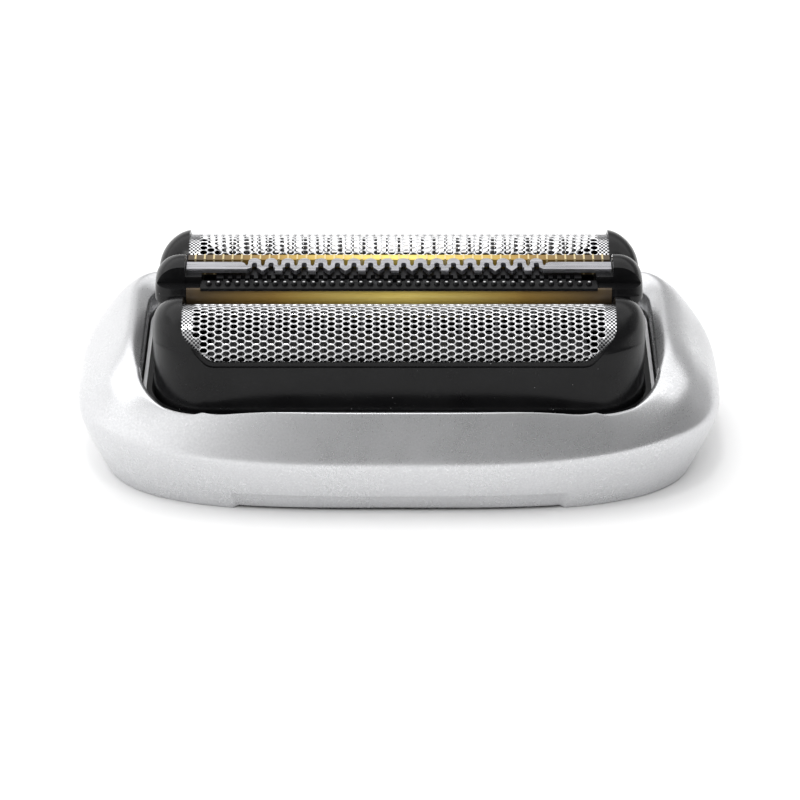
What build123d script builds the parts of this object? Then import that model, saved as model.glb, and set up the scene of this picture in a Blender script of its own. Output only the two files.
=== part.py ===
from build123d import *
from math import cos, sin, pi, sqrt
import os

os.makedirs("parts", exist_ok=True)

# Shaver foil head (clip-on cutting cassette).  Millimetres, +Z up, front = -Y,
# origin at the middle of the frame's bottom rim.

# ---------------------------------------------------------------- dimensions
# outer frame: plan half sizes (a along X, b along Y) and corner fullness
# (front, back) at each height of the bowl-shaped lower skin ...
BOWL = [
    (0.0, 26.2, 13.1, 3.2, 3.2),
    (2.5, 27.4, 13.9, 3.1, 3.3),
    (6.1, 28.5, 14.6, 3.2, 3.7),
    (7.5, 27.95, 14.85, 2.85, 4.2),
    (8.6, 27.0, 15.0, 2.8, 4.8),
    (10.0, 25.8, 15.1, 2.9, 5.4),
    (11.9, 24.3, 15.2, 3.6, 6.0),
]
# ... and of the sloping upper skin that meets it in the crease
SLOPE = [
    (-0.5, 36.9, 16.8, 3.0, 3.6),
    (3.0, 33.0, 15.3, 3.2, 3.8),
    (6.0, 29.7, 14.03, 3.45, 4.4),
    (8.6, 27.25, 12.93, 3.3, 5.8),
    (10.0, 25.75, 12.33, 3.05, 8.0),
    (12.0, 23.15, 11.48, 2.65, 10.0),
]
WINDOW = (22.6, 11.55, 5.6)        # half length, half depth, corner radius
FLARE_Z = 8.3              # the window widens upward from here
FLARE_LOW = (19.8, 11.55, 5.6)     # flared mouth at FLARE_Z
FLARE_TOP_Z = 12.2
FLARE_HIGH = (24.4, 13.85, 6.6)    # and at FLARE_TOP_Z
FRONT_RIM_Z = 9.55         # level stretch of the rim along the front
CAVITY_BOTTOM = (25.0, 12.0, 3.6)
CAVITY_TOP = (24.6, 11.65, 4.2)
LEDGE_Z = 6.2              # underside ledge the base plate seats on
NOTCH_HALF = 14.4          # shallow notch along the lower front and back edge
NOTCH_TOP = 1.75
NOTCH_DEEP = 0.35
NOTCH_RELIEF = 0.2

# chassis ring and bright trim inside the window
RING_OUT = (22.4, 11.4, 5.4)
RING_LIP = (22.1, 11.15, 5.1)
RING_IN = (21.6, 10.9, 4.85)
TRIM_Z = 8.2
RING_TOP = 8.6

# base plate
PLATE_Z0 = 5.2
PLATE = (24.2, 11.35, 4.2)

# foil elements
FOIL_CY = 6.8              # distance of each foil axis from the middle
FRAME_W = 3.9              # half depth of a foil frame
FRAME_X = 21.4             # half length of a foil frame
FRAME_ZC = 13.3            # centre height of its arch
FRAME_TOP = 17.2
FRAME_Z0 = 7.9
CORNER_PLAN = 4.7          # outer corner radius seen from above
CORNER_INNER = 1.4
FOIL_CORNER = 0.64         # foil and pocket round their corners this much more
CORNER_TOP = 2.8
FOIL_R = 3.53
FOIL_T = 0.12
FOIL_ZC = 13.1
FOIL_X = 19.0
FOIL_Z0 = 9.0
CAV_R = 3.56
CAV_X = 19.1
OPEN_TOP_X = 18.7          # foil opening: half length at the top
OPEN_LOW_X = 16.2          # and at its lower edge
OPEN_LOW_Z = 13.35
OPEN_KNEE_Z = 15.5
FLOAT_TRAVEL = 1.5

# cutters
BLADE_R = 3.25
BLADE_RI = 2.2
BLADE_T = 0.25
BLADE_N = 31
BLADE_PITCH = 1.05
CUTTER_TRAVEL = 1.0
STEM_X, STEM_Y = 2.7, 2.3
STEM_Z0 = 4.6
BORE_R = 1.6
BORE_DEEP = 4.0

# trimmer
TRIM_W = 2.75
TRIM_X = 21.4
TRIM_TOP = 18.2
TRIM_ZC = 15.0
TRIM_BODY_W = 2.45
LEDGE_Y = -1.3             # the domed ends stand back behind a ledge
TRIM_LEDGE_Z = 16.3
TRIM_BODY_X = 21.1
DECK_X = 18.75
COMB_Z0, COMB_Z1 = 16.85, 17.25
COMB_X = 18.65
COMB_PITCH = 1.458
COMB_ARCHES = 18
COMB_MID = -0.31           # middle of the wavy stretch
BEADS = 41
BEAD_PITCH = 0.8315
BEAD_Y = -1.95
BEAD_R = 0.27
RIB_PITCH = 0.8165

# float springs
SPRING_R = 0.74
SPRING_WIRE = 0.11
SPRING_X = 20.1


# ------------------------------------------------------------------- helpers
def box(x0, x1, y0, y1, z0, z1):
    return Pos((x0 + x1) / 2, (y0 + y1) / 2, (z0 + z1) / 2) * Box(x1 - x0, y1 - y0, z1 - z0)


def cyl(x, y, z0, z1, r):
    return Pos(x, y, (z0 + z1) / 2) * Cylinder(r, z1 - z0)


def rounded(size, z0, z1):
    hx, hy, r = size
    return extrude(Pos(0, 0, z0) * RectangleRounded(2 * hx, 2 * hy, r), z1 - z0)


def oval_points(a, b, n_front, n_back, z, count=72):
    """Superellipse outline, evenly spaced along its length, starting at the back."""
    dense = []
    steps = 2880
    for k in range(steps + 1):
        t = pi / 2 + 2 * pi * k / steps
        c, s = cos(t), sin(t)
        n = n_front if s < 0 else n_back
        r = ((abs(c) / a) ** n + (abs(s) / b) ** n) ** (-1.0 / n)
        dense.append((r * c, r * s))
    run = [0.0]
    for p, q in zip(dense, dense[1:]):
        run.append(run[-1] + sqrt((p[0] - q[0]) ** 2 + (p[1] - q[1]) ** 2))
    points = []
    k = 0
    for i in range(count):
        want = run[-1] * i / count
        while run[k + 1] < want:
            k += 1
        f = (want - run[k]) / (run[k + 1] - run[k])
        x = dense[k][0] + f * (dense[k + 1][0] - dense[k][0])
        y = dense[k][1] + f * (dense[k + 1][1] - dense[k][1])
        points.append(Vector(x, y, z))
    return points


def oval_wire(a, b, n_front, n_back, z, count=72):
    points = oval_points(a, b, n_front, n_back, z, count)
    return Wire([Edge.make_spline(points, periodic=True, parameters=list(range(count + 1)))])


def oval_solid(rows, ruled=False):
    return Solid.make_loft([oval_wire(a, b, nf, nb, z) for z, a, b, nf, nb in rows], ruled)


def arch_wire(x, yf, yi, zc, top, z0):
    """Closed section across a foil frame: flat bottom, straight sides, rounded top."""
    mid, w, h = (yf + yi) / 2, (yi - yf) / 2, top - zc
    crown = [Vector(x, mid + w * cos(pi * k / 12), zc + h * sin(pi * k / 12)) for k in range(13)]
    return Wire([
        Edge.make_line((x, yf, z0), (x, yi, z0)),
        Edge.make_line((x, yi, z0), (x, yi, zc)),
        Edge.make_spline(crown, tangents=[(0, 0, 1), (0, 0, -1)]),
        Edge.make_line((x, yf, zc), (x, yf, z0)),
    ])


def drop(x, start, r):
    """How far a rounded corner of radius r has turned in at x."""
    d = x - start
    return 0.0 if d <= 0 else r - sqrt(max(r * r - d * d, 0.0))


def domed_bar(cy, w, half, zc, top, z0, r_outer, r_inner, r_top, stations):
    """Arched bar along X with domed ends; r_outer rounds the -Y corners in plan."""
    def section(x):
        yf = cy - w + drop(x, half - r_outer, r_outer)
        yi = cy + w - drop(x, half - r_inner, r_inner)
        return yf, yi, top - drop(x, half - r_top, r_top)

    x0 = stations[0]
    yf, yi, t = section(x0)
    middle = Solid.make_loft([arch_wire(-x0, yf, yi, zc, t, z0), arch_wire(x0, yf, yi, zc, t, z0)], True)
    wires = []
    for x in stations:
        yf, yi, t = section(x)
        wires.append(arch_wire(x, yf, yi, zc, t, z0))
    end = Solid.make_loft(wires, False)
    return middle + end + mirror(end, about=Plane.YZ)


def arch_prism(cy, w, zc, z0, x):
    """Plain arch (half circle over straight sides), from -x to x."""
    profile = make_face([
        Line((cy - w, z0), (cy + w, z0)),
        Line((cy + w, z0), (cy + w, zc)),
        ThreePointArc((cy + w, zc), (cy, zc + w), (cy - w, zc)),
        Line((cy - w, zc), (cy - w, z0)),
    ])
    return Pos(-x, 0, 0) * extrude(Plane.YZ * profile, 2 * x)


def coil(x, y, z0, z1, r, wire, turns):
    height = z1 - z0 - 2 * wire
    path = Helix(pitch=height / turns, height=height, radius=r)
    section = Plane(origin=path @ 0, z_dir=path % 0) * Circle(wire)
    return Pos(x, y, z0 + wire) * sweep(section, path=path, is_frenet=True)


def save(shape, name):
    shape.label = name
    export_step(shape, "parts/" + name + ".step")


# ---------------------------------------------------------------- outer frame
def outer_frame():
    body = oval_solid(BOWL) & oval_solid(SLOPE)
    # window, widening toward the rim
    hx, hy, r = FLARE_LOW
    low = Pos(0, 0, FLARE_Z) * RectangleRounded(2 * hx, 2 * hy, r)
    hx, hy, r = FLARE_HIGH
    high = Pos(0, 0, FLARE_TOP_Z) * RectangleRounded(2 * hx, 2 * hy, r)
    body = body - rounded(WINDOW, LEDGE_Z - 1, FLARE_TOP_Z) - loft([low, high])
    # level front rim
    body = body - box(-21.5, 21.5, -16, -9.6, FRONT_RIM_Z, 14)
    # hollow underside
    a, b, n = CAVITY_BOTTOM
    c, d, m = CAVITY_TOP
    hollow = oval_solid([(-0.2, a + 0.013, b + 0.011, n, n), (LEDGE_Z, c, d, m, m)], True)
    body = body - hollow
    # shallow notches along the lower front and back edges
    inner = oval_solid([(z, a - NOTCH_DEEP, b - NOTCH_DEEP, nf, nb) for z, a, b, nf, nb in BOWL[:4]])
    slab = box(-NOTCH_HALF, NOTCH_HALF, -16, 16, -0.5, NOTCH_TOP) - inner
    body = body - slab
    for s in (-1, 1):
        body = body - box(-NOTCH_HALF, NOTCH_HALF, min(s * 9, s * 16), max(s * 9, s * 16), -0.5, NOTCH_RELIEF)
        # clips that hold the base plate up against the ledge
        body = body + box(min(s * 23.7, s * 25.4), max(s * 23.7, s * 25.4), -3, 3, PLATE_Z0 - 0.55, PLATE_Z0)
    return body


# ---------------------------------------------------- chassis, trim, base plate
def chassis():
    ring = rounded(RING_OUT, LEDGE_Z, TRIM_Z) + rounded(RING_LIP, TRIM_Z, RING_TOP)
    return ring - rounded(RING_IN, LEDGE_Z - 1, RING_TOP + 1)


def window_trim():
    return rounded(RING_OUT, TRIM_Z, RING_TOP) - rounded(RING_LIP, TRIM_Z - 1, RING_TOP + 1)


def hook_slots():
    """Where the retaining legs of the three floating elements pass the base plate."""
    spots = []
    for s in (-1, 1):
        for t in (-1, 1):
            spots.append((s * 20.0, t * (FOIL_CY - 2.0), 0.6, 0.5))
        spots.append((s * 18.25, 0.0, 0.5, 0.6))
    return spots


def base_plate():
    a, b, n = PLATE
    plate = oval_solid([(PLATE_Z0, a, b, n, n), (LEDGE_Z, a, b, n, n)], True)
    for s in (-1, 1):
        cy = s * FOIL_CY
        plate -= box(-4.0, 4.0, cy - 2.6, cy + 2.6, 4, 7)
        for x in (-11.0, 11.0):
            slot = Pos(x, cy, 4) * extrude(RectangleRounded(9.0, 4.6, 1.2), 4)
            plate -= slot
    for x, y, hx, hy in hook_slots():
        plate -= box(x - hx - 0.25, x + hx + 0.25, y - hy - 0.25, y + hy + 0.25, 4, 7)
    for s in (-1, 1):
        for y in (-FOIL_CY, 0.0, FOIL_CY):
            plate += cyl(s * SPRING_X, y, LEDGE_Z - 0.2, LEDGE_Z + 0.6, 0.5)
    return plate


# ------------------------------------------------------------- foil elements
STATIONS = [16.7, 17.3, 17.9, 18.5, 19.1, 19.65, 20.1, 20.45, 20.75, 21.0, 21.2, 21.34, 21.4]


def opening(low_x, low_z, top_x, knee_z, top_z, corner):
    """Foil opening seen from the front, as a through prism."""
    outline = Polyline(
        (-low_x, low_z), (low_x, low_z), (top_x, knee_z), (top_x, top_z),
        (-top_x, top_z), (-top_x, knee_z), close=True,
    )
    face = make_face(outline)
    turned = low_z if top_z < knee_z + 1.5 else knee_z
    face = fillet([v for v in face.vertices() if v.Y < turned + 0.01], corner)
    return extrude(Plane.XZ * face, 20, both=True)


def plan_prism(cy, inset, z0, z1):
    """The foil pocket's outline from above, inset from the element's sides (rounded -Y corners)."""
    y0, depth = cy - FRAME_W + inset, 30.0
    outline = Pos(0, y0 + depth / 2) * RectangleRounded(2 * (FRAME_X - inset), depth, CORNER_PLAN - inset + FOIL_CORNER)
    return Pos(0, 0, z0) * extrude(outline, z1 - z0)


def foil_frame(cy):
    bar = domed_bar(cy, FRAME_W, FRAME_X, FRAME_ZC, FRAME_TOP, FRAME_Z0,
                    CORNER_PLAN, CORNER_INNER, CORNER_TOP, STATIONS)
    bar -= arch_prism(cy, CAV_R, FOIL_ZC, FRAME_Z0 - 1, CAV_X) & plan_prism(cy, FRAME_W - CAV_R, 5, 20)
    bar -= opening(OPEN_LOW_X, OPEN_LOW_Z, OPEN_TOP_X, OPEN_KNEE_Z, 19, 1.2)
    # shallow lip around the lower edge of the opening
    lip = opening(OPEN_LOW_X + 0.25, OPEN_LOW_Z - 0.42, OPEN_TOP_X - 0.05, OPEN_KNEE_Z, OPEN_KNEE_Z + 0.1, 1.2)
    bar -= lip - arch_prism(cy, FRAME_W - 0.15, FRAME_ZC, 0, 30)
    for s in (-1, 1):
        bar -= cyl(s * SPRING_X, cy, FRAME_Z0 - 1, 9.6, 0.95)
    # retaining legs with a barb under the base plate
    for x, y, hx, hy in hook_slots():
        if abs(y - (cy + 2.0)) < 0.01:
            bar += box(x - hx, x + hx, y - hy, y + hy, 4.3, FRAME_Z0 + 0.4)
            bar += box(x - hx, x + hx, y + hy - 0.1, y + hy + 0.6, 4.3, PLATE_Z0 - 0.15)
    return bar


def foil_sheet(cy):
    sheet = arch_prism(cy, FOIL_R, FOIL_ZC, FOIL_Z0, FOIL_X) & plan_prism(cy, FRAME_W - FOIL_R, 5, 20)
    return sheet - arch_prism(cy, FOIL_R - FOIL_T, FOIL_ZC, FOIL_Z0 - 1, FOIL_X + 1)


def foil_clamp(cy):
    ring = box(-CAV_X, CAV_X, cy - CAV_R, cy + CAV_R, 8.4, FOIL_Z0)
    ring += box(-18.6, 18.6, cy - FOIL_R + FOIL_T, cy + FOIL_R - FOIL_T, FOIL_Z0, 10.2)
    ring = ring & plan_prism(cy, FRAME_W - CAV_R, 5, 20)
    return ring - box(-17.9, 17.9, cy - 2.75, cy + 2.75, 8, 11)


# -------------------------------------------------------------------- cutters
def cutter_blades(cy):
    blade = arch_prism(cy, BLADE_R, FOIL_ZC, 11.6, BLADE_T / 2) - arch_prism(cy, BLADE_RI, FOIL_ZC, 11, 1)
    pack = [Pos((i - (BLADE_N - 1) / 2) * BLADE_PITCH, 0, 0) * blade for i in range(BLADE_N)]
    span = (BLADE_N - 1) / 2 * BLADE_PITCH + BLADE_T / 2
    rods = [box(-span, span, cy + y - 0.2, cy + y + 0.2, 12.2, 12.6) for y in (-2.7, 2.7)]
    return rods[0].fuse(rods[1], *pack)


def cutter_carrier(cy):
    body = box(-16.6, 16.6, cy - 3.2, cy + 3.2, 10.6, 11.6)
    body = fillet(body.edges().filter_by(Axis.Z), 0.8)
    body += box(-16.3, 16.3, cy - 2.15, cy + 2.15, 11.6, 13.2)
    body -= cyl(0, cy, 10, 11.4, 1.25)
    for s in (-1, 1):
        for x in (5.0, 11.0):
            body -= cyl(s * x, cy, 10, 10.9, 1.15)
    return body


def cutter_bridge(cy):
    body = box(-9, 9, cy - 2.4, cy + 2.4, 8.4, 9.2)
    body += box(-STEM_X, STEM_X, cy - STEM_Y, cy + STEM_Y, STEM_Z0, 8.4)
    body += cyl(0, cy, 9.0, 11.35, 1.2)
    body -= cyl(0, cy, STEM_Z0 - 1, STEM_Z0 + BORE_DEEP, BORE_R)
    for s in (-1, 1):
        body += cyl(s * 5.0, cy, 9.0, 9.8, 0.5)
    return body


def cutter_springs(cy):
    return Compound(children=[coil(s * 5.0, cy, 9.2, 10.9, 0.8, 0.12, 4) for s in (-1, 1)])


# -------------------------------------------------------------------- trimmer
TRIM_STATIONS = [18.9, 19.3, 19.7, 20.1, 20.45, 20.75, 21.0, 21.2, 21.34, 21.4]


def trimmer_frame():
    head = domed_bar(0.0, TRIM_W, TRIM_X, TRIM_ZC, TRIM_TOP, TRIM_ZC - 0.1, 1.6, 1.6, 2.3, TRIM_STATIONS)
    body = box(-TRIM_BODY_X, TRIM_BODY_X, -TRIM_BODY_W, TRIM_BODY_W, FRAME_Z0, TRIM_ZC - 0.1)
    body = fillet(body.edges().filter_by(Axis.Z), 0.9)
    # ledge in front of the domed ends, level with the deck
    head -= box(-22, 22, -3, LEDGE_Y, TRIM_LEDGE_Z, 19)
    body += head
    # deck between the domed ends
    body -= box(-DECK_X, DECK_X, -1.2, 3, 15.6, 19)
    body -= box(-DECK_X, DECK_X, -3, -1.2, 16.25, 19)
    # seat of the front rail
    body -= box(-18.65, 18.65, -3, -2.15, 14.5, 17)
    # hollow for the blade carrier, open below, and its slot through the deck
    body -= box(-17.6, 17.6, -1.6, 1.6, FRAME_Z0 - 1, 15.0)
    body -= box(-17.2, 17.2, -1.15, 1.6, 14, 19)
    # pads that carry the comb's ends
    for s in (-1, 1):
        body += box(min(s * 17.3, s * DECK_X), max(s * 17.3, s * DECK_X), -1.2, 1.4, 15.5, COMB_Z0)
        body += box(s * 7.25 - 0.5, s * 7.25 + 0.5, -1.7, 1.7, 11.6, 12.4)
        body -= cyl(s * SPRING_X, 0, FRAME_Z0 - 1, 9.6, 0.95)
        x = s * 18.25
        body += box(x - 0.5, x + 0.5, -0.6, 0.6, 4.3, FRAME_Z0 + 0.4)
        body += box(min(x - s * 0.4, x - s * 1.1), max(x - s * 0.4, x - s * 1.1), -0.6, 0.6, 4.3, PLATE_Z0 - 0.15)
    # way through the rear wall for the drive peg
    body -= box(-1.7, 1.7, 1.5, 3, FRAME_Z0 - 1, 13.3)
    return body


def trimmer_retainer():
    plate = box(-17.6, 17.6, -1.6, 1.6, 7.95, 8.4)
    for x in (-10.0, 10.0):
        plate -= box(x - 4, x + 4, -0.8, 0.8, 7, 9)
    return plate


def trimmer_comb():
    """Flat steel ribbon: plain at both ends, bent into arches in the middle."""
    first = COMB_MID - (COMB_ARCHES - 1) / 2 * COMB_PITCH
    arches = [first + i * COMB_PITCH for i in range(COMB_ARCHES)]
    pointed = "V t V t V V t V t V V t V t V V t".split()
    half = COMB_PITCH / 2
    # front edge from left to right: slots under the arches, points and tabs between
    front = [(-COMB_X, -0.43), (arches[0] - 0.62, -0.43)]
    for k, x in enumerate(arches):
        front += [(x - 0.23, -0.1), (x - 0.23, 0.55)]
        front += [(x - 0.23 * cos(pi * j / 6), 0.55 + 0.23 * sin(pi * j / 6)) for j in range(1, 6)]
        front += [(x + 0.23, 0.55), (x + 0.23, -0.1)]
        mid = x + half
        if k == COMB_ARCHES - 1:
            front += [(x + 0.62, -0.43), (COMB_X, -0.43)]
        elif pointed[k] == "V":
            front += [(mid - 0.08, -0.72), (mid + 0.08, -0.72)]
        else:
            front += [(mid - 0.36, -0.14), (mid - 0.36, -0.72), (mid + 0.3, -0.72), (mid + 0.3, -0.14)]
    # rear edge from right to left: rounded arches with narrow valleys between
    back = [(COMB_X, 0.92), (arches[-1] + 1.15, 0.92), (arches[-1] + 0.9, 0.7)]
    for k in range(COMB_ARCHES - 1, -1, -1):
        x = arches[k]
        if k == COMB_ARCHES - 1:
            back += [(x + 0.76, 0.35), (x + half - 0.06, 0.24)]
        back += [(x + 0.6, 0.34), (x + 0.555, 0.6)]
        back += [(x + 0.55 * cos(pi * j / 14), 0.98 + 0.66 * sin(pi * j / 14)) for j in range(15)]
        back += [(x - 0.555, 0.6), (x - 0.6, 0.34)]
        back += [(x - half + 0.06, 0.2), (x - half - 0.06, 0.2)] if k else [(x - half + 0.06, 0.24), (x - 0.76, 0.35)]
    back += [(arches[0] - 0.9, 0.7), (arches[0] - 1.15, 0.92), (-COMB_X, 0.92)]
    return Pos(0, 0, COMB_Z0) * extrude(make_face(Polyline(*front, *back, close=True)), COMB_Z1 - COMB_Z0)


def trimmer_blade():
    plate = box(-16.0, 16.0, -1.05, 1.5, 16.25, 16.65)
    slots = []
    for i in range(-20, 21):
        x = i * 0.76
        slots.append(box(x - 0.2, x + 0.2, -1.5, -0.45, 16, 17))
        slots.append(box(x - 0.2, x + 0.2, 0.9, 2.0, 16, 17))
    return plate.cut(*slots)


def trimmer_blade_carrier():
    body = box(-16.0, 16.0, -1.0, 1.3, 13.6, 16.25)
    body -= box(-15.2, -2.4, -0.6, 0.9, 13, 15.4)
    body -= box(2.4, 15.2, -0.6, 0.9, 13, 15.4)
    body += box(-1.6, 1.6, -0.8, 1.3, 8.6, 13.7)
    body -= box(-0.48, 0.48, -1, 2, 8, 13.15)
    return body


def trimmer_blade_spring():
    leaves = []
    for s in (-1, 1):
        outer = ThreePointArc((s * 2.0, 13.6), (s * 7.25, 12.6), (s * 12.5, 13.6))
        inner = ThreePointArc((s * 2.35, 13.6), (s * 7.25, 12.78), (s * 12.15, 13.6))
        face = make_face([outer, Line(outer @ 1, inner @ 1), inner, Line(inner @ 0, outer @ 0)])
        leaves.append(extrude(Plane.XZ * face, 0.95, both=True))
    return leaves


def skin_guard():
    strip = box(-17.35, 17.35, -2.75, -1.2, 16.25, 16.5)
    # scalloped rear edge in front of the comb
    scallops = [cyl(i * 3.6 - 0.31, -0.75, 16, 17, 0.85) for i in range(-4, 5)]
    strip = strip.cut(*scallops)
    beads = [Pos((i - (BEADS - 1) / 2) * BEAD_PITCH, BEAD_Y, 16.53) * Sphere(BEAD_R) for i in range(BEADS)]
    return strip.fuse(*beads)


def front_guard_rail():
    face = make_face([
        ThreePointArc((-2.45, 14.55), (-2.72, 15.4), (-2.45, 16.25)),
        Line((-2.45, 16.25), (-2.15, 16.25)),
        Line((-2.15, 16.25), (-2.15, 14.55)),
        Line((-2.15, 14.55), (-2.45, 14.55)),
    ])
    return Pos(-18.6, 0, 0) * extrude(Plane.YZ * face, 37.2)


def rear_guard_rail():
    rail = box(-18.6, 18.6, 1.75, 2.7, 15.6, 17.05)
    ribs = [box(x - 0.07, x + 0.07, 1.75, 2.7, 17.0, 17.12) for x in [(i - 22) * RIB_PITCH for i in range(45)]]
    return rail.fuse(*ribs)


# ---------------------------------------------------------------- float springs
def float_springs(y):
    return Compound(children=[coil(s * SPRING_X, y, LEDGE_Z, 9.6, SPRING_R, SPRING_WIRE, 6) for s in (-1, 1)])


def flip(shape):
    return mirror(shape, about=Plane.XZ)


def main():
    save(outer_frame(), "outer_frame")
    save(chassis(), "chassis")
    save(window_trim(), "window_trim")
    save(base_plate(), "base_plate")
    cy = -FOIL_CY
    frame = foil_frame(cy)
    foil = foil_sheet(cy)
    save(frame, "front_foil_frame")
    save(foil, "front_foil")
    save(foil_clamp(cy), "front_foil_clamp")
    # the rear element also lets the trimmer's drive peg through its inner wall
    gap = box(-1.7, 1.7, FOIL_CY - 5, FOIL_CY - 3, FRAME_Z0 - 1, 11.75)
    save(flip(frame) - gap, "rear_foil_frame")
    save(flip(foil) - gap, "rear_foil")
    save(flip(foil_clamp(cy)), "rear_foil_clamp")
    carrier = cutter_carrier(cy)
    save(cutter_blades(cy), "front_cutter_blades")
    save(carrier, "front_cutter_carrier")
    save(cutter_bridge(cy), "front_cutter_bridge")
    save(cutter_springs(cy), "front_cutter_springs")
    save(cutter_blades(FOIL_CY), "rear_cutter_blades")
    peg = Pos(0, (FOIL_CY - 3.1 + 0.1) / 2, 11.1) * Rot(90, 0, 0) * Cylinder(0.4, FOIL_CY - 3.2)
    save(flip(carrier) + peg, "rear_cutter_carrier")
    save(cutter_bridge(FOIL_CY), "rear_cutter_bridge")
    save(cutter_springs(FOIL_CY), "rear_cutter_springs")
    save(trimmer_frame(), "trimmer_frame")
    save(trimmer_retainer(), "trimmer_retainer")
    save(trimmer_comb(), "trimmer_comb")
    save(trimmer_blade(), "trimmer_blade")
    save(trimmer_blade_carrier(), "trimmer_blade_carrier")
    save(Compound(children=trimmer_blade_spring()), "trimmer_blade_spring")
    save(skin_guard(), "skin_guard")
    save(front_guard_rail(), "front_guard_rail")
    save(rear_guard_rail(), "rear_guard_rail")
    save(float_springs(-FOIL_CY), "front_float_springs")
    save(float_springs(0.0), "trimmer_float_springs")
    save(float_springs(FOIL_CY), "rear_float_springs")


main()
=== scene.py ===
import math
import bpy
import numpy as np
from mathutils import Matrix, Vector


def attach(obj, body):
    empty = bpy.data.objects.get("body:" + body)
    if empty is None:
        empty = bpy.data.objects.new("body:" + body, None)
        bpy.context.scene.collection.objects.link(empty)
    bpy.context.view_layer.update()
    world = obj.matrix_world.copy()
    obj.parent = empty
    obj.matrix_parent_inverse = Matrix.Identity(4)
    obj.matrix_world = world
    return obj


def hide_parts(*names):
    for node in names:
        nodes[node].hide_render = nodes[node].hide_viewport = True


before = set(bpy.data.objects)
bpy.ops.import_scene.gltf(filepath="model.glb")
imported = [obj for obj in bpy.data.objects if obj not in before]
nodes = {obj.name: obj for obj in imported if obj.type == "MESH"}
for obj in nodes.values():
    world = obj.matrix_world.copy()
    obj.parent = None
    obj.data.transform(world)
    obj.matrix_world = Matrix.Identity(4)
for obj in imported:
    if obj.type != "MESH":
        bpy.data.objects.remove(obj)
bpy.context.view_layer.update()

MM = 0.001


# ------------------------------------------------------------------ small tools
def add_mesh(name, points_mm, faces, smooth=True):
    me = bpy.data.meshes.new(name)
    me.from_pydata([tuple(p) for p in np.asarray(points_mm, float) * MM], [], faces)
    me.validate()
    me.update()
    ob = bpy.data.objects.new(name, me)
    bpy.context.scene.collection.objects.link(ob)
    if smooth:
        me.polygons.foreach_set("use_smooth", [True] * len(me.polygons))
    return ob


class Net:
    """Short-hand for building a node tree."""

    def __init__(self, tree):
        self.tree = tree

    def link(self, a, b):
        self.tree.links.new(a, b)

    def new(self, kind, **values):
        n = self.tree.nodes.new(kind)
        for k, v in values.items():
            if hasattr(n, k):
                setattr(n, k, v)
            else:
                n.inputs[k].default_value = v
        return n

    def coords(self):
        return self.new("ShaderNodeTexCoord").outputs["Object"]

    def scaled(self, vector, sx, sy, sz):
        m = self.new("ShaderNodeMapping")
        self.link(vector, m.inputs["Vector"])
        m.inputs["Scale"].default_value = (sx, sy, sz)
        return m.outputs[0]

    def noise(self, vector, scale, detail=2.0, rough=0.5):
        n = self.new("ShaderNodeTexNoise")
        n.inputs["Scale"].default_value = scale
        n.inputs["Detail"].default_value = detail
        n.inputs["Roughness"].default_value = rough
        self.link(vector, n.inputs["Vector"])
        return n.outputs["Fac"]

    def remap(self, value, a, b, c, d):
        n = self.new("ShaderNodeMapRange")
        self.link(value, n.inputs["Value"])
        for k, v in zip(("From Min", "From Max", "To Min", "To Max"), (a, b, c, d)):
            n.inputs[k].default_value = v
        return n.outputs["Result"]

    def math(self, op, a, b=None):
        n = self.new("ShaderNodeMath", operation=op)
        for i, v in enumerate((a, b)):
            if v is None:
                continue
            if isinstance(v, (int, float)):
                n.inputs[i].default_value = v
            else:
                self.link(v, n.inputs[i])
        return n.outputs[0]

    def mix(self, fac, a, b):
        n = self.new("ShaderNodeMix", data_type="RGBA")
        for key, v in ((0, fac), (6, a), (7, b)):
            if isinstance(v, (int, float)):
                n.inputs[key].default_value = v
            elif isinstance(v, tuple):
                n.inputs[key].default_value = (*v, 1.0)
            else:
                self.link(v, n.inputs[key])
        return n.outputs[2]

    def step(self, value, a, b, c=0.0, d=1.0):
        n = self.new("ShaderNodeMapRange", interpolation_type="SMOOTHSTEP")
        self.link(value, n.inputs["Value"])
        for k, v in zip(("From Min", "From Max", "To Min", "To Max"), (a, b, c, d)):
            n.inputs[k].default_value = v
        return n.outputs["Result"]


class Nodes(Net):
    """A node material around one principled shader."""

    def __init__(self, name):
        self.mat = bpy.data.materials.new(name)
        self.mat.use_nodes = True
        super().__init__(self.mat.node_tree)
        self.tree.nodes.clear()
        self.out = self.tree.nodes.new("ShaderNodeOutputMaterial")
        self.bsdf = self.tree.nodes.new("ShaderNodeBsdfPrincipled")
        self.link(self.bsdf.outputs[0], self.out.inputs["Surface"])

    def colour(self, value):
        self.link(value, self.bsdf.inputs["Base Color"])

    def rough(self, value):
        self.link(value, self.bsdf.inputs["Roughness"])

    def bump(self, height, strength, distance):
        n = self.new("ShaderNodeBump")
        n.inputs["Strength"].default_value = strength
        n.inputs["Distance"].default_value = distance
        self.link(height, n.inputs["Height"])
        self.link(n.outputs[0], self.bsdf.inputs["Normal"])

    def set(self, **values):
        for k, v in values.items():
            self.bsdf.inputs[k.replace("_", " ")].default_value = v
        return self


def dress(ob, mat):
    ob.data.materials.clear()
    ob.data.materials.append(mat)


# ------------------------------------------------------------------- materials
def silver_lacquer():
    m = Nodes("frame_silver_lacquer").set(Metallic=0.80)
    c = m.coords()
    flakes = m.noise(c, 5200.0, 2.0, 0.65)
    cloud = m.noise(c, 240.0, 3.0)
    tone = m.mix(m.remap(flakes, 0.3, 0.7, 0.0, 1.0), (0.585, 0.588, 0.60), (0.685, 0.688, 0.70))
    m.colour(m.mix(m.remap(cloud, 0.35, 0.65, 0.0, 0.12), tone, (0.635, 0.638, 0.65)))
    m.rough(m.math("ADD", m.remap(flakes, 0.3, 0.7, 0.34, 0.26), m.remap(cloud, 0.3, 0.7, -0.02, 0.02)))
    m.bump(flakes, 0.06, 0.00003)
    return m.mat


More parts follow.
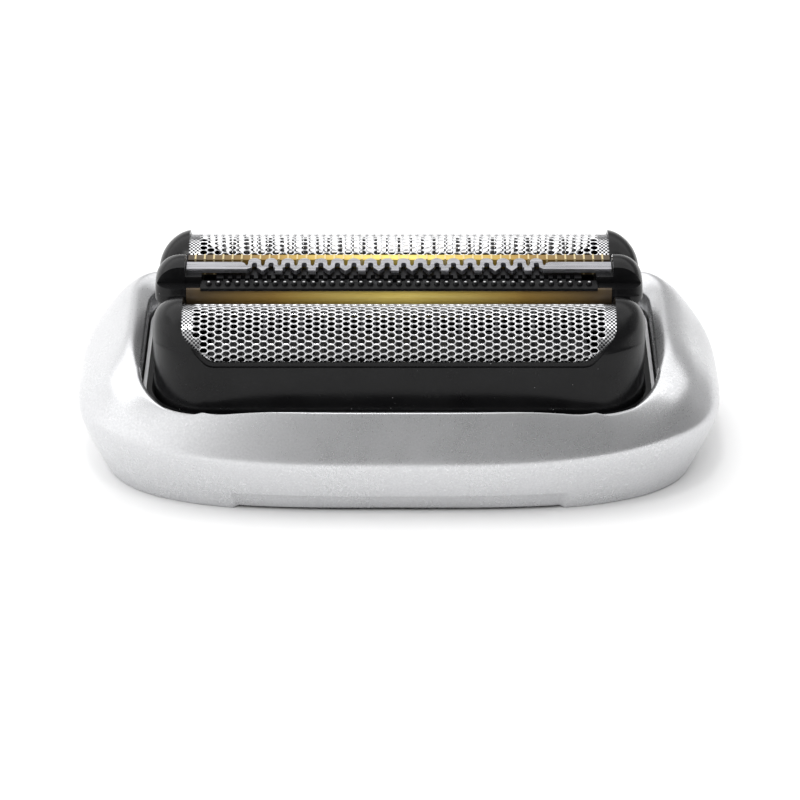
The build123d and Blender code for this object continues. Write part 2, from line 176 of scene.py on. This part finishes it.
def black_plastic(name, rough, dust):
    m = Nodes(name).set(Specular_IOR_Level=0.19)
    c = m.coords()
    cloud = m.noise(c, 320.0, 4.0, 0.6)
    grain = m.noise(c, 4200.0, 2.0)
    base = m.mix(m.remap(cloud, 0.3, 0.7, 0.0, 1.0), (0.005, 0.005, 0.0055), (0.009, 0.009, 0.0095))
    specks = m.new("ShaderNodeTexVoronoi")
    specks.inputs["Scale"].default_value = 1500.0
    specks.inputs["Randomness"].default_value = 1.0
    m.link(c, specks.inputs["Vector"])
    dots = m.math("MULTIPLY", m.remap(specks.outputs["Distance"], 0.035, 0.09, 1.0, 0.0),
                  m.remap(m.noise(c, 900.0, 1.0), 0.60, 0.66, 0.0, dust))
    m.colour(m.mix(dots, base, (0.30, 0.30, 0.31)))
    m.rough(m.math("ADD", m.remap(cloud, 0.3, 0.7, rough - 0.03, rough + 0.04), m.math("MULTIPLY", dots, 0.4)))
    m.bump(grain, 0.05, 0.00003)
    return m.mat


def bead_strip():
    """Black plastic strip whose small beads carry a painted highlight: their tips are coloured pale grey."""
    m = Nodes("black_bead_plastic").set(Specular_IOR_Level=0.14)
    c = m.coords()
    xyz = m.new("ShaderNodeSeparateXYZ")
    m.link(c, xyz.inputs[0])
    cloud = m.noise(c, 900.0, 3.0, 0.6)
    base = m.mix(m.remap(cloud, 0.3, 0.7, 0.0, 1.0), (0.005, 0.005, 0.0055), (0.010, 0.010, 0.0105))
    # painted highlight: the bead tips are painted pale so that they read as bright glints
    painted_tip_highlight = m.step(xyz.outputs["Z"], 0.016755, 0.016795)
    m.colour(m.mix(painted_tip_highlight, base, (0.55, 0.55, 0.56)))
    m.rough(m.remap(cloud, 0.3, 0.7, 0.16, 0.26))
    return m.mat


def moulded(name, dark, light, rough):
    m = Nodes(name)
    c = m.coords()
    grain = m.noise(c, 3000.0, 3.0, 0.6)
    cloud = m.noise(c, 200.0, 3.0)
    m.colour(m.mix(m.remap(cloud, 0.3, 0.7, 0.0, 1.0), dark, light))
    m.rough(m.remap(grain, 0.3, 0.7, rough - 0.06, rough + 0.06))
    m.bump(grain, 0.12, 0.00005)
    return m.mat


def brushed(name, dark, light, rough, along="X", metallic=1.0):
    m = Nodes(name).set(Metallic=metallic)
    c = m.coords()
    s = {"X": (120.0, 5200.0, 5200.0), "Y": (5200.0, 120.0, 5200.0), "Z": (5200.0, 5200.0, 120.0)}[along]
    lines = m.noise(m.scaled(c, *s), 1.0, 3.0, 0.6)
    cloud = m.noise(c, 260.0, 2.0)
    m.colour(m.mix(m.remap(lines, 0.3, 0.7, 0.0, 1.0), dark, light))
    m.rough(m.math("ADD", m.remap(lines, 0.3, 0.7, rough - 0.05, rough + 0.05), m.remap(cloud, 0.3, 0.7, -0.02, 0.02)))
    m.bump(lines, 0.06, 0.00004)
    return m.mat


def foil_steel():
    """Bright thin steel; plain margins carry a fine diamond pattern."""
    m = Nodes("foil_bright_steel").set(Metallic=1.0)
    c = m.coords()
    cloud = m.noise(c, 420.0, 3.0)
    uv = m.new("ShaderNodeUVMap", uv_map="sheet").outputs[0]
    check = m.new("ShaderNodeTexChecker")
    check.inputs["Scale"].default_value = 1.0
    m.link(m.scaled(uv, 5.6, 5.6, 1.0), check.inputs["Vector"])
    margin = m.new("ShaderNodeAttribute", attribute_name="margin").outputs["Fac"]
    fac = m.math("MULTIPLY", check.outputs["Fac"], margin)
    bright = m.mix(m.remap(cloud, 0.3, 0.7, 0.0, 1.0), (0.61, 0.614, 0.627), (0.74, 0.74, 0.75))
    m.colour(m.mix(fac, bright, (0.03, 0.03, 0.033)))
    m.rough(m.math("ADD", m.remap(cloud, 0.3, 0.7, 0.16, 0.24), m.math("MULTIPLY", fac, 0.3)))
    m.bump(m.math("SUBTRACT", 1.0, fac), 0.4, 0.00005)
    return m.mat


def gold_metal(name, painted_rib_highlights):
    """Gold-toned metal with a painted glow: painted highlight bright in the middle, fading through bronze to near-black
    painted shade at both ends.
    """
    m = Nodes(name).set(Metallic=0.15)
    c = m.coords()
    xyz = m.new("ShaderNodeSeparateXYZ")
    m.link(c, xyz.inputs[0])
    far = m.math("ABSOLUTE", xyz.outputs["X"])
    lines = m.noise(m.scaled(c, 90.0, 4200.0, 4200.0), 1.0, 3.0, 0.6)
    warm = m.mix(m.remap(lines, 0.3, 0.7, 0.0, 1.0), (0.92, 0.66, 0.11), (1.0, 0.82, 0.26))
    # painted glow: brightest at the middle, fading to bronze and then to near-black painted shade towards both ends
    mid = m.mix(m.remap(far, 0.001, 0.011, 0.0, 1.0), warm, (0.40, 0.24, 0.045))
    tone = m.mix(m.remap(far, 0.0100, 0.0182, 0.0, 1.0), mid, (0.07, 0.048, 0.026))
    if painted_rib_highlights:
        # painted highlight: the fine ribs are painted a lighter, creamy tone
        phase = m.math("FRACT", m.math("ADD", m.math("DIVIDE", xyz.outputs["X"], 0.0008165), 0.5))
        near = m.math("ABSOLUTE", m.math("SUBTRACT", phase, 0.5))
        tone = m.mix(m.remap(near, 0.07, 0.13, 0.8, 0.0), tone, (0.80, 0.66, 0.36))
    m.colour(tone)
    m.rough(m.remap(lines, 0.3, 0.7, 0.30, 0.42))
    m.bump(lines, 0.05, 0.00004)
    return m.mat


def highlight_trim_paint():
    # painted highlight: the window trim ring is coloured near-white to stand in for the thin bright highlight just
    # inside the window's edge
    m = Nodes("trim_painted_highlight").set(Metallic=0.25)
    cloud = m.noise(m.coords(), 500.0, 3.0)
    m.colour(m.mix(m.remap(cloud, 0.3, 0.7, 0.0, 1.0), (0.84, 0.845, 0.86), (0.94, 0.94, 0.95)))
    m.rough(m.remap(cloud, 0.3, 0.7, 0.10, 0.18))
    return m.mat


MAT_SILVER = silver_lacquer()
MAT_BLACK = black_plastic("black_gloss_plastic", 0.24, 1.0)
MAT_GUARD = bead_strip()
MAT_DARK = moulded("dark_moulded_plastic", (0.028, 0.028, 0.030), (0.048, 0.048, 0.050), 0.52)
MAT_BRIDGE = moulded("grey_moulded_plastic", (0.30, 0.30, 0.31), (0.37, 0.37, 0.38), 0.48)
MAT_FOIL = foil_steel()
MAT_COMB = brushed("comb_brushed_steel", (0.54, 0.54, 0.57), (0.70, 0.70, 0.735), 0.30, "X")
# painted shade: the cutter blades are coloured near-black to stand in for the shade under the foils, so the holes read
# dark
MAT_BLADE = brushed("blade_steel_painted_shade", (0.018, 0.018, 0.019), (0.045, 0.045, 0.047), 0.40, "Z")
MAT_DARKSTEEL = brushed("dark_coated_steel", (0.006, 0.006, 0.007), (0.014, 0.014, 0.016), 0.42, "X", 0.6)
MAT_SPRING = brushed("spring_wire_steel", (0.46, 0.46, 0.48), (0.66, 0.66, 0.68), 0.26, "Z")
MAT_GOLD = gold_metal("gold_metal_painted_glow", False)
MAT_GOLD_RIBBED = gold_metal("gold_ribbed_metal_painted_glow", True)
MAT_TRIM_HIGHLIGHT = highlight_trim_paint()

for name, mat in {
    "outer_frame": MAT_SILVER, "window_trim": MAT_TRIM_HIGHLIGHT, "chassis": MAT_BLACK, "base_plate": MAT_DARK,
    "front_foil_frame": MAT_BLACK, "rear_foil_frame": MAT_BLACK, "trimmer_frame": MAT_BLACK,
    "front_foil": MAT_FOIL, "rear_foil": MAT_FOIL,
    "front_foil_clamp": MAT_DARK, "rear_foil_clamp": MAT_DARK, "trimmer_retainer": MAT_DARK,
    "trimmer_comb": MAT_COMB, "skin_guard": MAT_GUARD,
    "front_guard_rail": MAT_GOLD, "rear_guard_rail": MAT_GOLD_RIBBED,
    "front_cutter_blades": MAT_BLADE, "rear_cutter_blades": MAT_BLADE,
    "front_cutter_carrier": MAT_DARK, "rear_cutter_carrier": MAT_DARK, "trimmer_blade_carrier": MAT_DARK,
    "front_cutter_bridge": MAT_BRIDGE, "rear_cutter_bridge": MAT_BRIDGE,
    "front_cutter_springs": MAT_SPRING, "rear_cutter_springs": MAT_SPRING, "trimmer_blade_spring": MAT_SPRING,
    "front_float_springs": MAT_SPRING, "rear_float_springs": MAT_SPRING, "trimmer_float_springs": MAT_SPRING,
    "trimmer_blade": MAT_DARKSTEEL,
}.items():
    dress(nodes[name], mat)


def soften(ob, width_mm, segments=2, flat=False):
    """Break the sharp edges of a node so that they catch the light."""
    if flat:
        d = ob.modifiers.new("merge_flat", "DECIMATE")
        d.decimate_type = "DISSOLVE"
        d.angle_limit = math.radians(1.0)
    b = ob.modifiers.new("edge_break", "BEVEL")
    b.width = width_mm * MM
    b.segments = segments
    b.limit_method = "ANGLE"
    b.angle_limit = math.radians(38)
    b.use_clamp_overlap = True
    b.harden_normals = False


soften(nodes["trimmer_comb"], 0.05, 2, True)


# ----------------------------------------------------- outer frame, fine surface
BOWL = np.array([
    (0.0, 26.2, 13.1, 3.2, 3.2), (2.5, 27.4, 13.9, 3.1, 3.3), (6.1, 28.5, 14.6, 3.2, 3.7),
    (7.5, 27.95, 14.85, 2.85, 4.2), (8.6, 27.0, 15.0, 2.8, 4.8), (10.0, 25.8, 15.1, 2.9, 5.4),
    (11.9, 24.3, 15.2, 3.6, 6.0)])
SLOPE = np.array([
    (-0.5, 36.9, 16.8, 3.0, 3.6), (3.0, 33.0, 15.3, 3.2, 3.8), (6.0, 29.7, 14.03, 3.45, 4.4),
    (8.6, 27.25, 12.93, 3.3, 5.8), (10.0, 25.75, 12.33, 3.05, 8.0), (12.0, 23.15, 11.48, 2.65, 10.0)])


def fine_table(table, blur=0.45, step=0.02):
    """The table's columns on a fine height grid, as a smooth curve through its rows."""
    zs = table[:, 0]
    h = np.diff(zs)
    z = np.arange(zs[0], zs[-1] + step / 2, step)
    k = np.clip(np.searchsorted(zs, z, side="right") - 1, 0, len(zs) - 2)
    t = (z - zs[k]) / h[k]
    pad = int(4 * blur / step)
    kernel = np.exp(-0.5 * (np.arange(-pad, pad + 1) * step / blur) ** 2)
    kernel /= kernel.sum()
    cols = []
    for col in table[:, 1:].T:
        d = np.diff(col) / h
        m = np.empty(len(zs))
        m[0], m[-1] = d[0], d[-1]
        for i in range(1, len(zs) - 1):
            if d[i - 1] * d[i] <= 0:
                m[i] = 0.0
            else:
                w1, w2 = 2 * h[i] + h[i - 1], h[i] + 2 * h[i - 1]
                m[i] = (w1 + w2) / (w1 / d[i - 1] + w2 / d[i])
        v = (col[k] * (2 * t**3 - 3 * t**2 + 1) + h[k] * m[k] * (t**3 - 2 * t**2 + t)
             + col[k + 1] * (-2 * t**3 + 3 * t**2) + h[k] * m[k + 1] * (t**3 - t**2))
        n = np.arange(1, pad + 1)
        before = v[0] - (v[1] - v[0]) * n[::-1]
        after = v[-1] + (v[-1] - v[-2]) * n
        cols.append(np.convolve(np.concatenate([before, v, after]), kernel, "valid"))
    return z, cols


FINE_BOWL, FINE_SLOPE = fine_table(BOWL), fine_table(SLOPE)


def curve_through(fine, z):
    return [np.interp(z, fine[0], col) for col in fine[1]]


def oval_radius(a, b, nf, nb, th):
    c, s = np.abs(np.cos(th)), np.abs(np.sin(th))
    n = np.where(np.sin(th) < 0, nf, nb)
    return ((c / a) ** n + (s / b) ** n) ** (-1.0 / n)


def skin_radius(th, z):
    """Outer skin: bowl and slope, with a slightly softened crease between them."""
    ra = oval_radius(*curve_through(FINE_BOWL, z), th)
    rb = oval_radius(*curve_through(FINE_SLOPE, z), th)
    k = 0.16
    lo = np.minimum(ra, rb)
    return lo - k * np.log(np.exp(-(ra - lo) / k) + np.exp(-(rb - lo) / k)) + 0.0


def rounded_radius(hx, hy, r, th):
    """Distance from the middle to a rounded rectangle along each direction."""
    c, s = np.abs(np.cos(th)) + 1e-12, np.abs(np.sin(th)) + 1e-12
    px, py = hx - r, hy - r
    side = hx / c
    end = hy / s
    mid = px * c + py * s
    corner = mid + np.sqrt(np.maximum(mid**2 - (px**2 + py**2 - r**2), 0.0))
    return np.where(side * s <= py, side, np.where(end * c <= px, end, corner))


def flare_radius(th, z):
    t = (z - 8.3) / (12.2 - 8.3)
    return rounded_radius(19.8 + 4.6 * t, 11.55 + 2.3 * t, 5.6 + 1.0 * t, th)


def solve(f, lo, hi, steps=34):
    """Bisection for the root of a falling function on arrays."""
    lo, hi = lo.copy(), hi.copy()
    for _ in range(steps):
        mid = (lo + hi) / 2
        up = f(mid) > 0
        lo, hi = np.where(up, mid, lo), np.where(up, hi, mid)
    return (lo + hi) / 2


def outer_frame_surface():
    # directions evenly spaced along the outline
    dense = np.linspace(-np.pi, np.pi, 20001)
    r = oval_radius(26.5, 13.6, 4.5, 4.5, dense)
    x, y = r * np.cos(dense), r * np.sin(dense)
    run = np.concatenate([[0], np.cumsum(np.hypot(np.diff(x), np.diff(y)))])
    count = 940
    th = np.interp(np.arange(count) / count * run[-1], run, dense)
    co, si = np.cos(th), np.sin(th)

    # the crest is where the skin meets the flared mouth of the window
    wall = rounded_radius(22.6, 11.55, 5.6, th)
    crest = solve(lambda z: skin_radius(th, z) - np.maximum(flare_radius(th, z), wall + 0.25),
                  np.full(count, 7.5), np.full(count, 11.95))
    r_crest = skin_radius(th, crest)
    edge = solve(lambda z: wall - flare_radius(th, z), np.full(count, 8.0), np.full(count, 11.5))
    edge = np.minimum(edge, crest - 0.3)
    low = crest - 1.0
    r_out = skin_radius(th, low)
    soft = 0.06 + 0.42 * np.clip((np.abs(r_crest * co) - 19.5) / 3.5, 0, 1)

    def notch(xx, z):
        sx = np.clip((14.4 - np.abs(xx)) / 0.14 + 0.5, 0, 1)
        sz = np.clip((1.75 - z) / 0.14 + 0.5, 0, 1)
        return sx * sx * (3 - 2 * sx) * sz * sz * (3 - 2 * sz)

    rows = []
    # flat bottom rim, outward, then up the outer skin
    for f in (0.0, 0.5, 0.9):
        inner = oval_radius(25.0, 12.0, 3.6, 3.6, th)
        outer = skin_radius(th, np.zeros(count)) - 0.14
        rr = inner + f * (outer - inner)
        rows.append((rr, 0.2 * notch(rr * co, np.zeros(count))))
    heights = [0.0, 0.04, 0.14, 0.3, 0.6, 0.95, 1.3, 1.55, 1.66, 1.72, 1.78, 1.84, 1.95, 2.2]
    for z in heights:
        zz = np.full(count, z)
        cut = notch(skin_radius(th, zz) * co, zz)
        rr = skin_radius(th, zz) - 0.35 * cut - 0.14 * max(0.0, 1 - z / 0.14) ** 2
        rows.append((rr, np.maximum(zz, 0.2 * cut)))
    for k in range(1, 41):
        zz = 2.2 + (low - 2.2) * k / 40
        rows.append((skin_radius(th, zz), zz))
    # over the rounded crest and down the flared inner lip
    half = 13
    for k in list(range(1, half + 1)) + list(range(half + 1, 2 * half + 1)):
        if k <= half:
            u = (1 - k / half) ** 1.6
            rr = r_crest + (r_out - r_crest) * u
        else:
            u = ((k - half) / half) ** 1.6
            rr = r_crest + (wall - r_crest) * u
        z_out = solve(lambda z: skin_radius(th, z) - rr, np.full(count, 6.0), np.full(count, 11.85))
        r_last = skin_radius(th, np.full(count, 11.85))
        steep = 0.3 / (skin_radius(th, np.full(count, 11.55)) - r_last)
        z_out = np.where(rr < r_last, 11.85 + (r_last - rr) * steep, z_out)
        z_in = edge + (crest - edge) * (rr - wall) / (r_crest - wall)
        z_top = 9.5 + 1.4 * np.maximum(rr * si + 11.2, 0.0) ** 2
        m = np.minimum(np.minimum(z_out, z_in), z_top)
        zz = m - soft * np.log(np.exp(-(z_out - m) / soft) + np.exp(-(z_in - m) / soft)
                               + np.exp(-np.minimum((z_top - m) / soft, 60.0)))
        rows.append((rr, zz))
    rows.append((wall, edge - 0.12))
    rows.append((wall, np.full(count, 7.6)))
    rows.append((wall, np.full(count, 6.2)))
    top_in = np.maximum(oval_radius(24.6, 11.65, 4.2, 4.2, th), wall + 0.01)
    rows.append((top_in, np.full(count, 6.2)))
    for f in (0.35, 0.7):
        a, b, n = 24.6 + 0.4 * f, 11.65 + 0.35 * f, 4.2 - 0.6 * f
        rows.append((oval_radius(a, b, n, n, th), np.full(count, 6.2 * (1 - f))))
    pts = np.concatenate([np.stack([r * co, r * si, z], -1) for r, z in rows])
    n_rows = len(rows)
    faces = []
    for i in range(n_rows):
        a0, b0 = i * count, ((i + 1) % n_rows) * count
        for j in range(count):
            k = (j + 1) % count
            faces.append((a0 + j, a0 + k, b0 + k, b0 + j))
    base = len(pts)
    # the two clips that hold the base plate
    extra = []
    for s in (-1, 1):
        o = base + len(extra)
        xs = sorted((s * 23.7, s * 25.2))
        for z in (4.65, 5.2):
            for y in (-3.0, 3.0):
                for x in xs:
                    extra.append((x, y, z))
        faces += [(o, o + 2, o + 3, o + 1), (o + 4, o + 5, o + 7, o + 6), (o, o + 1, o + 5, o + 4),
                  (o + 2, o + 6, o + 7, o + 3), (o, o + 4, o + 6, o + 2), (o + 1, o + 3, o + 7, o + 5)]
    ob = add_mesh("frame_shell", np.concatenate([pts, np.array(extra)]), faces)
    dress(ob, MAT_SILVER)
    return ob


shell = outer_frame_surface()
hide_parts("outer_frame")
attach(shell, "cassette")


# ------------------------------------------------------------- perforated foils
def perforated_foil(name, cy, side):
    """Honeycomb sheet bent over the foil's arch. side is -1 for the front foil (rounded -Y corners), 1 for the rear."""
    R, T, ZC = 3.53, 0.06, 13.1
    step_x, step_s = 0.645, 0.27
    p, q, h = 0.43, 0.215, 0.27
    rib = 0.052
    corners = [(p, 0.0), (q, h), (-q, h), (-p, 0.0), (-q, -h), (q, -h)]
    # the hole: the cell pulled in by half a rib, with cut corners
    inset = []
    for i in range(6):
        (x0, y0), (x1, y1), (x2, y2) = corners[i - 1], corners[i], corners[(i + 1) % 6]
        d1 = np.array([x1 - x0, y1 - y0]); d1 /= np.hypot(*d1)
        d2 = np.array([x2 - x1, y2 - y1]); d2 /= np.hypot(*d2)
        n1, n2 = np.array([-d1[1], d1[0]]), np.array([-d2[1], d2[0]])
        bis = (n1 + n2) / (1 + n1 @ n2)
        inset.append(np.array([x1, y1]) + bis * rib)
    hole = []
    for i in range(6):
        a, b, c = inset[i - 1], inset[i], inset[(i + 1) % 6]
        hole += [b + (a - b) * 0.26, b + (c - b) * 0.26]
    hole = np.array(hole)
    verts, faces, uv, margin = [], [], [], []
    shared = {}

    def lift(x, s, depth):
        r = R - depth
        lim = R * math.pi / 2
        if abs(s) <= lim:
            a = s / R
            return (x, cy + side * r * math.sin(a), ZC + r * math.cos(a))
        sg = math.copysign(1.0, s)
        return (x, cy + side * sg * r, ZC - (abs(s) - lim))

    def reach(s):
        """Half length of the sheet at this place on the arch (its outer corners are rounded in plan)."""
        if s <= 0:
            return 18.95
        y = R * math.sin(min(s / R, math.pi / 2))
        return min(18.95, 16.03 + math.sqrt(max(4.95**2 - (y + 1.44) ** 2, 0.0)))

    def vert(x, s, depth, key=None):
        if key is not None and key in shared:
            return shared[key]
        x = max(-reach(s), min(reach(s), x))
        verts.append(lift(x, s, depth))
        uv.append((x, s))
        if key is not None:
            shared[key] = len(verts) - 1
        return len(verts) - 1

    def holed(x, s):
        ax, a = abs(x), abs(s)
        if a > 5.2:
            return False
        limit = 17.75
        if a > 2.6:
            limit = 17.75 - 0.85 * min((a - 2.6) / 1.2, 1.0)
        if a > 4.7:
            limit = 16.35
        return ax < limit

    n_col = 29
    for ci in range(-n_col, n_col + 1):
        for ri in range(-14, 15):
            x = ci * step_x
            s = ri * 2 * step_s + (step_s if ci % 2 else 0.0)
            if abs(s) > 7.2 or abs(x) - 0.43 > reach(s):
                continue
            # the rear sheet's inner skirt leaves a gap for the trimmer's drive peg
            if side > 0 and s < -6.62 and abs(x) < 2.13:
                continue
            open_cell = holed(x, s)
            ring = {0: [], 1: []}
            for lower, depth in ((0, 0.0), (1, T)):
                for cx, cs in corners:
                    key = (round((x + cx) * 200), round((s + cs) * 200), lower)
                    ring[lower].append(vert(x + cx, s + cs, depth, key))
            if not open_cell:
                faces.append(tuple(ring[0])); margin.append(1.0)
                faces.append(tuple(reversed(ring[1]))); margin.append(1.0)
                continue
            # each rib is a low ridge that falls toward the holes beside it
            top = [vert(x + hx, s + hs, 0.024) for hx, hs in hole]
            edge = [vert(x + hx * 0.97, s + hs * 0.95, 0.042) for hx, hs in hole]
            bot = [vert(x + hx * 0.97, s + hs * 0.95, T) for hx, hs in hole]
            for lower, loop in ((0, top), (1, bot)):
                for i in range(6):
                    j = (i + 1) % 6
                    tri = (ring[lower][i], loop[2 * i + 1], loop[2 * i])
                    quad = (ring[lower][i], ring[lower][j], loop[(2 * i + 2) % 12], loop[2 * i + 1])
                    if lower:
                        tri, quad = tuple(reversed(tri)), tuple(reversed(quad))
                    faces.append(tri); margin.append(0.0)
                    faces.append(quad); margin.append(0.0)
            for i in range(12):
                j = (i + 1) % 12
                faces.append((top[i], top[j], edge[j], edge[i])); margin.append(0.0)
                faces.append((edge[i], edge[j], bot[j], bot[i])); margin.append(0.0)
    # faces run the other way round on the sheet bent toward -Y
    if side < 0:
        faces = [tuple(reversed(f)) for f in faces]
    ob = add_mesh(name, verts, faces, smooth=False)
    me = ob.data
    layer = me.uv_layers.new(name="sheet")
    idx = np.empty(len(me.loops), int)
    me.loops.foreach_get("vertex_index", idx)
    layer.data.foreach_set("uv", np.asarray(uv, float)[idx].ravel())
    if len(me.polygons) == len(margin):
        att = me.attributes.new("margin", "FLOAT", "FACE")
        att.data.foreach_set("value", margin)
    dress(ob, MAT_FOIL)
    return ob


for piece_name, node, body, cy, side in (
    ("front_foil_mesh", "front_foil", "front_element", -6.8, -1),
    ("rear_foil_mesh", "rear_foil", "rear_element", 6.8, 1),
):
    sheet = perforated_foil(piece_name, cy, side)
    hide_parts(node)
    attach(sheet, body)


# ------------------------------------------------------------------ floor, light
def floor():
    n, half = 8, 3.0
    g = np.linspace(-half, half, n + 1) / MM
    pts = [(x, y, 0.0) for y in g for x in g]
    faces = [(j * (n + 1) + i, j * (n + 1) + i + 1, (j + 1) * (n + 1) + i + 1, (j + 1) * (n + 1) + i)
             for j in range(n) for i in range(n)]
    ob = add_mesh("floor", pts, faces)
    m = Nodes("pale_floor")
    cloud = m.noise(m.coords(), 6.0, 3.0)
    m.colour(m.mix(m.remap(cloud, 0.3, 0.7, 0.0, 1.0), (0.90, 0.90, 0.90), (0.92, 0.92, 0.92)))
    m.rough(m.remap(cloud, 0.3, 0.7, 0.75, 0.85))
    dress(ob, m.mat)
    return ob


floor()


def softbox(name, place, aim, size_x, size_y, watts, colour=(1, 1, 1)):
    data = bpy.data.lights.new(name, "AREA")
    data.shape = "RECTANGLE"
    data.size, data.size_y = size_x, size_y
    data.energy = watts
    data.color = colour
    ob = bpy.data.objects.new(name, data)
    bpy.context.scene.collection.objects.link(ob)
    ob.location = place
    ob.rotation_euler = (Vector(aim) - Vector(place)).to_track_quat("-Z", "Y").to_euler()
    return ob


AIM = (0.0, 0.0, 0.008)
softbox("back_top_softbox", (0.0, 0.32, 0.74), AIM, 2.6, 0.95, 10.8)
softbox("small_top_light", (-0.05, -0.16, 0.75), AIM, 0.08, 0.08, 0.6)
front_fill = softbox("front_top_fill", (0.0, -0.36, 0.60), AIM, 0.30, 0.30, 0.45)
front_fill.visible_glossy = False

world = bpy.data.worlds.new("studio")
bpy.context.scene.world = world
world.use_nodes = True
w = Net(world.node_tree)
w.tree.nodes.clear()
w_out = w.new("ShaderNodeOutputWorld")
w_bg = w.new("ShaderNodeBackground")
w.link(w_bg.outputs[0], w_out.inputs["Surface"])
w_bg.inputs["Color"].default_value = (1.0, 1.0, 1.0, 1.0)
sky = w.new("ShaderNodeSeparateXYZ")
w.link(w.new("ShaderNodeTexCoord").outputs["Generated"], sky.inputs[0])
sx, sy, sz = sky.outputs
flat = w.math("SQRT", w.math("ADD", w.math("MULTIPLY", sx, sx), w.math("ADD", w.math("MULTIPLY", sy, sy), 1e-5)))
side, depth = w.math("DIVIDE", sx, flat), w.math("DIVIDE", sy, flat)
to_back = w.step(depth, -0.05, 0.5)
front = w.math("MAXIMUM", w.step(side, -0.05, 0.35, 0.14, 0.0), w.step(side, -0.60, 0.02, 1.5, 0.14))
front = w.math("ADD", w.math("MULTIPLY", front, w.step(sz, 0.50, 0.80, 1.0, 0.0)), w.step(sz, 0.50, 0.80, 0.0, 0.85))
rear = w.math("MULTIPLY", w.math("ADD", w.step(sz, 0.16, 0.44, 0.45, 0.0), 0.45), w.step(side, -0.7, 0.7, 1.55, 0.45))
level = w.math("ADD", w.math("MULTIPLY", front, w.math("SUBTRACT", 1.0, to_back)), w.math("MULTIPLY", rear, to_back))
w.link(level, w_bg.inputs["Strength"])

# ----------------------------------------------------------------------- camera
cam = bpy.data.cameras.new("camera")
cam.sensor_width = 36.0
cam.lens = 166.32
cam.clip_start, cam.clip_end = 0.01, 20.0
cam_ob = bpy.data.objects.new("camera", cam)
bpy.context.scene.collection.objects.link(cam_ob)
el = math.radians(29.0)
target = Vector((0.00009, -0.0009, 0.00436))
back = Vector((0.0, -math.cos(el), math.sin(el)))
cam_ob.location = target + back * 0.330
cam_ob.rotation_euler = (-back).to_track_quat("-Z", "Y").to_euler()
bpy.context.scene.camera = cam_ob
bpy.context.scene.view_settings.view_transform = "Standard"
